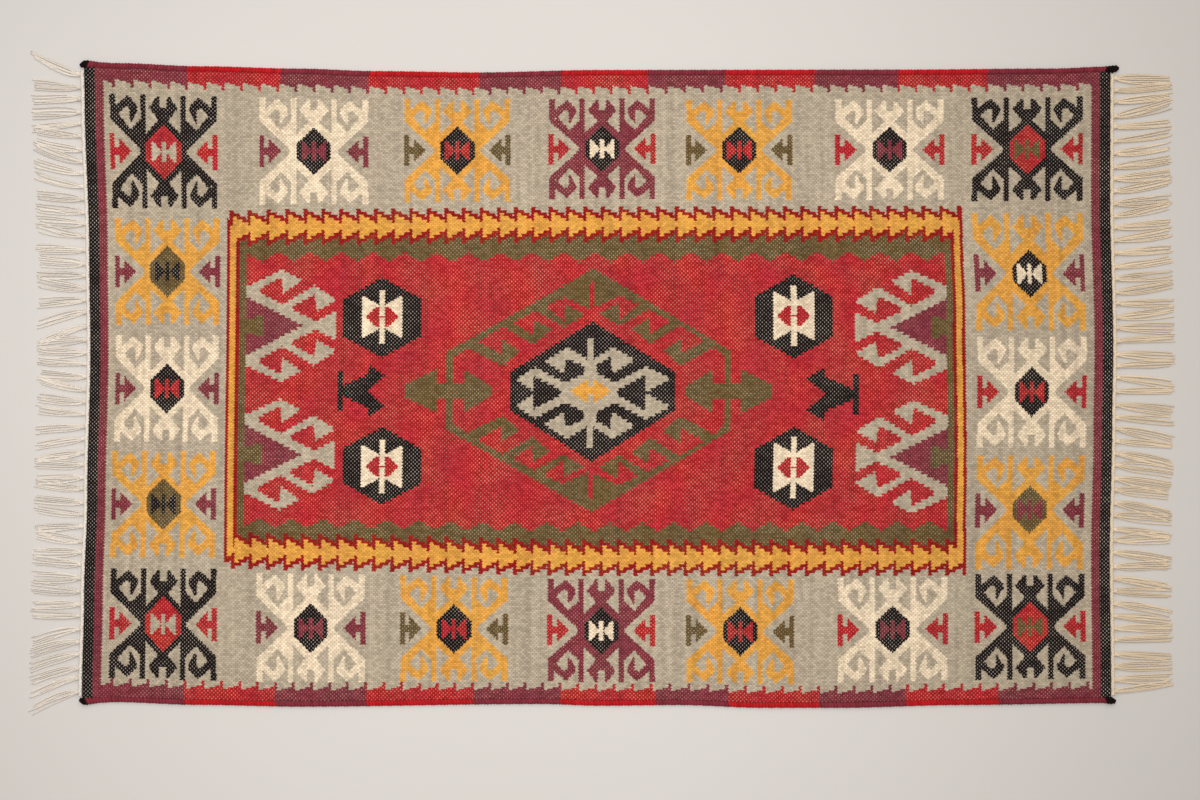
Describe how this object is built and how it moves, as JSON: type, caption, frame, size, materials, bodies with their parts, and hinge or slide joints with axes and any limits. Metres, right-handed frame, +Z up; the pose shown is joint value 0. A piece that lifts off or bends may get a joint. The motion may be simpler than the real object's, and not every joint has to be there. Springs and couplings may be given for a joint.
{
  "type": "kilim rug",
  "caption": "Flat-woven rectangular wool rug with corded selvedges and a knotted cotton fringe at both short ends, laid flat on the floor.",
  "frame": {"origin": "on the floor, under the middle of the whole rug with its fringe", "axes": "+X along the warp and the rug's length, +Y across its width, +Z up out of its face"},
  "size_m": [1.6218, 0.9402, 0.0055],
  "materials": {
    "wool_weave": "matt flat-woven wool",
    "cotton_yarn": "matt twisted cotton"
  },
  "bodies": {
    "root": {"rug_field": "wool_weave", "fringe_left": "cotton_yarn", "fringe_right": "cotton_yarn"}
  },
  "joints": []
}
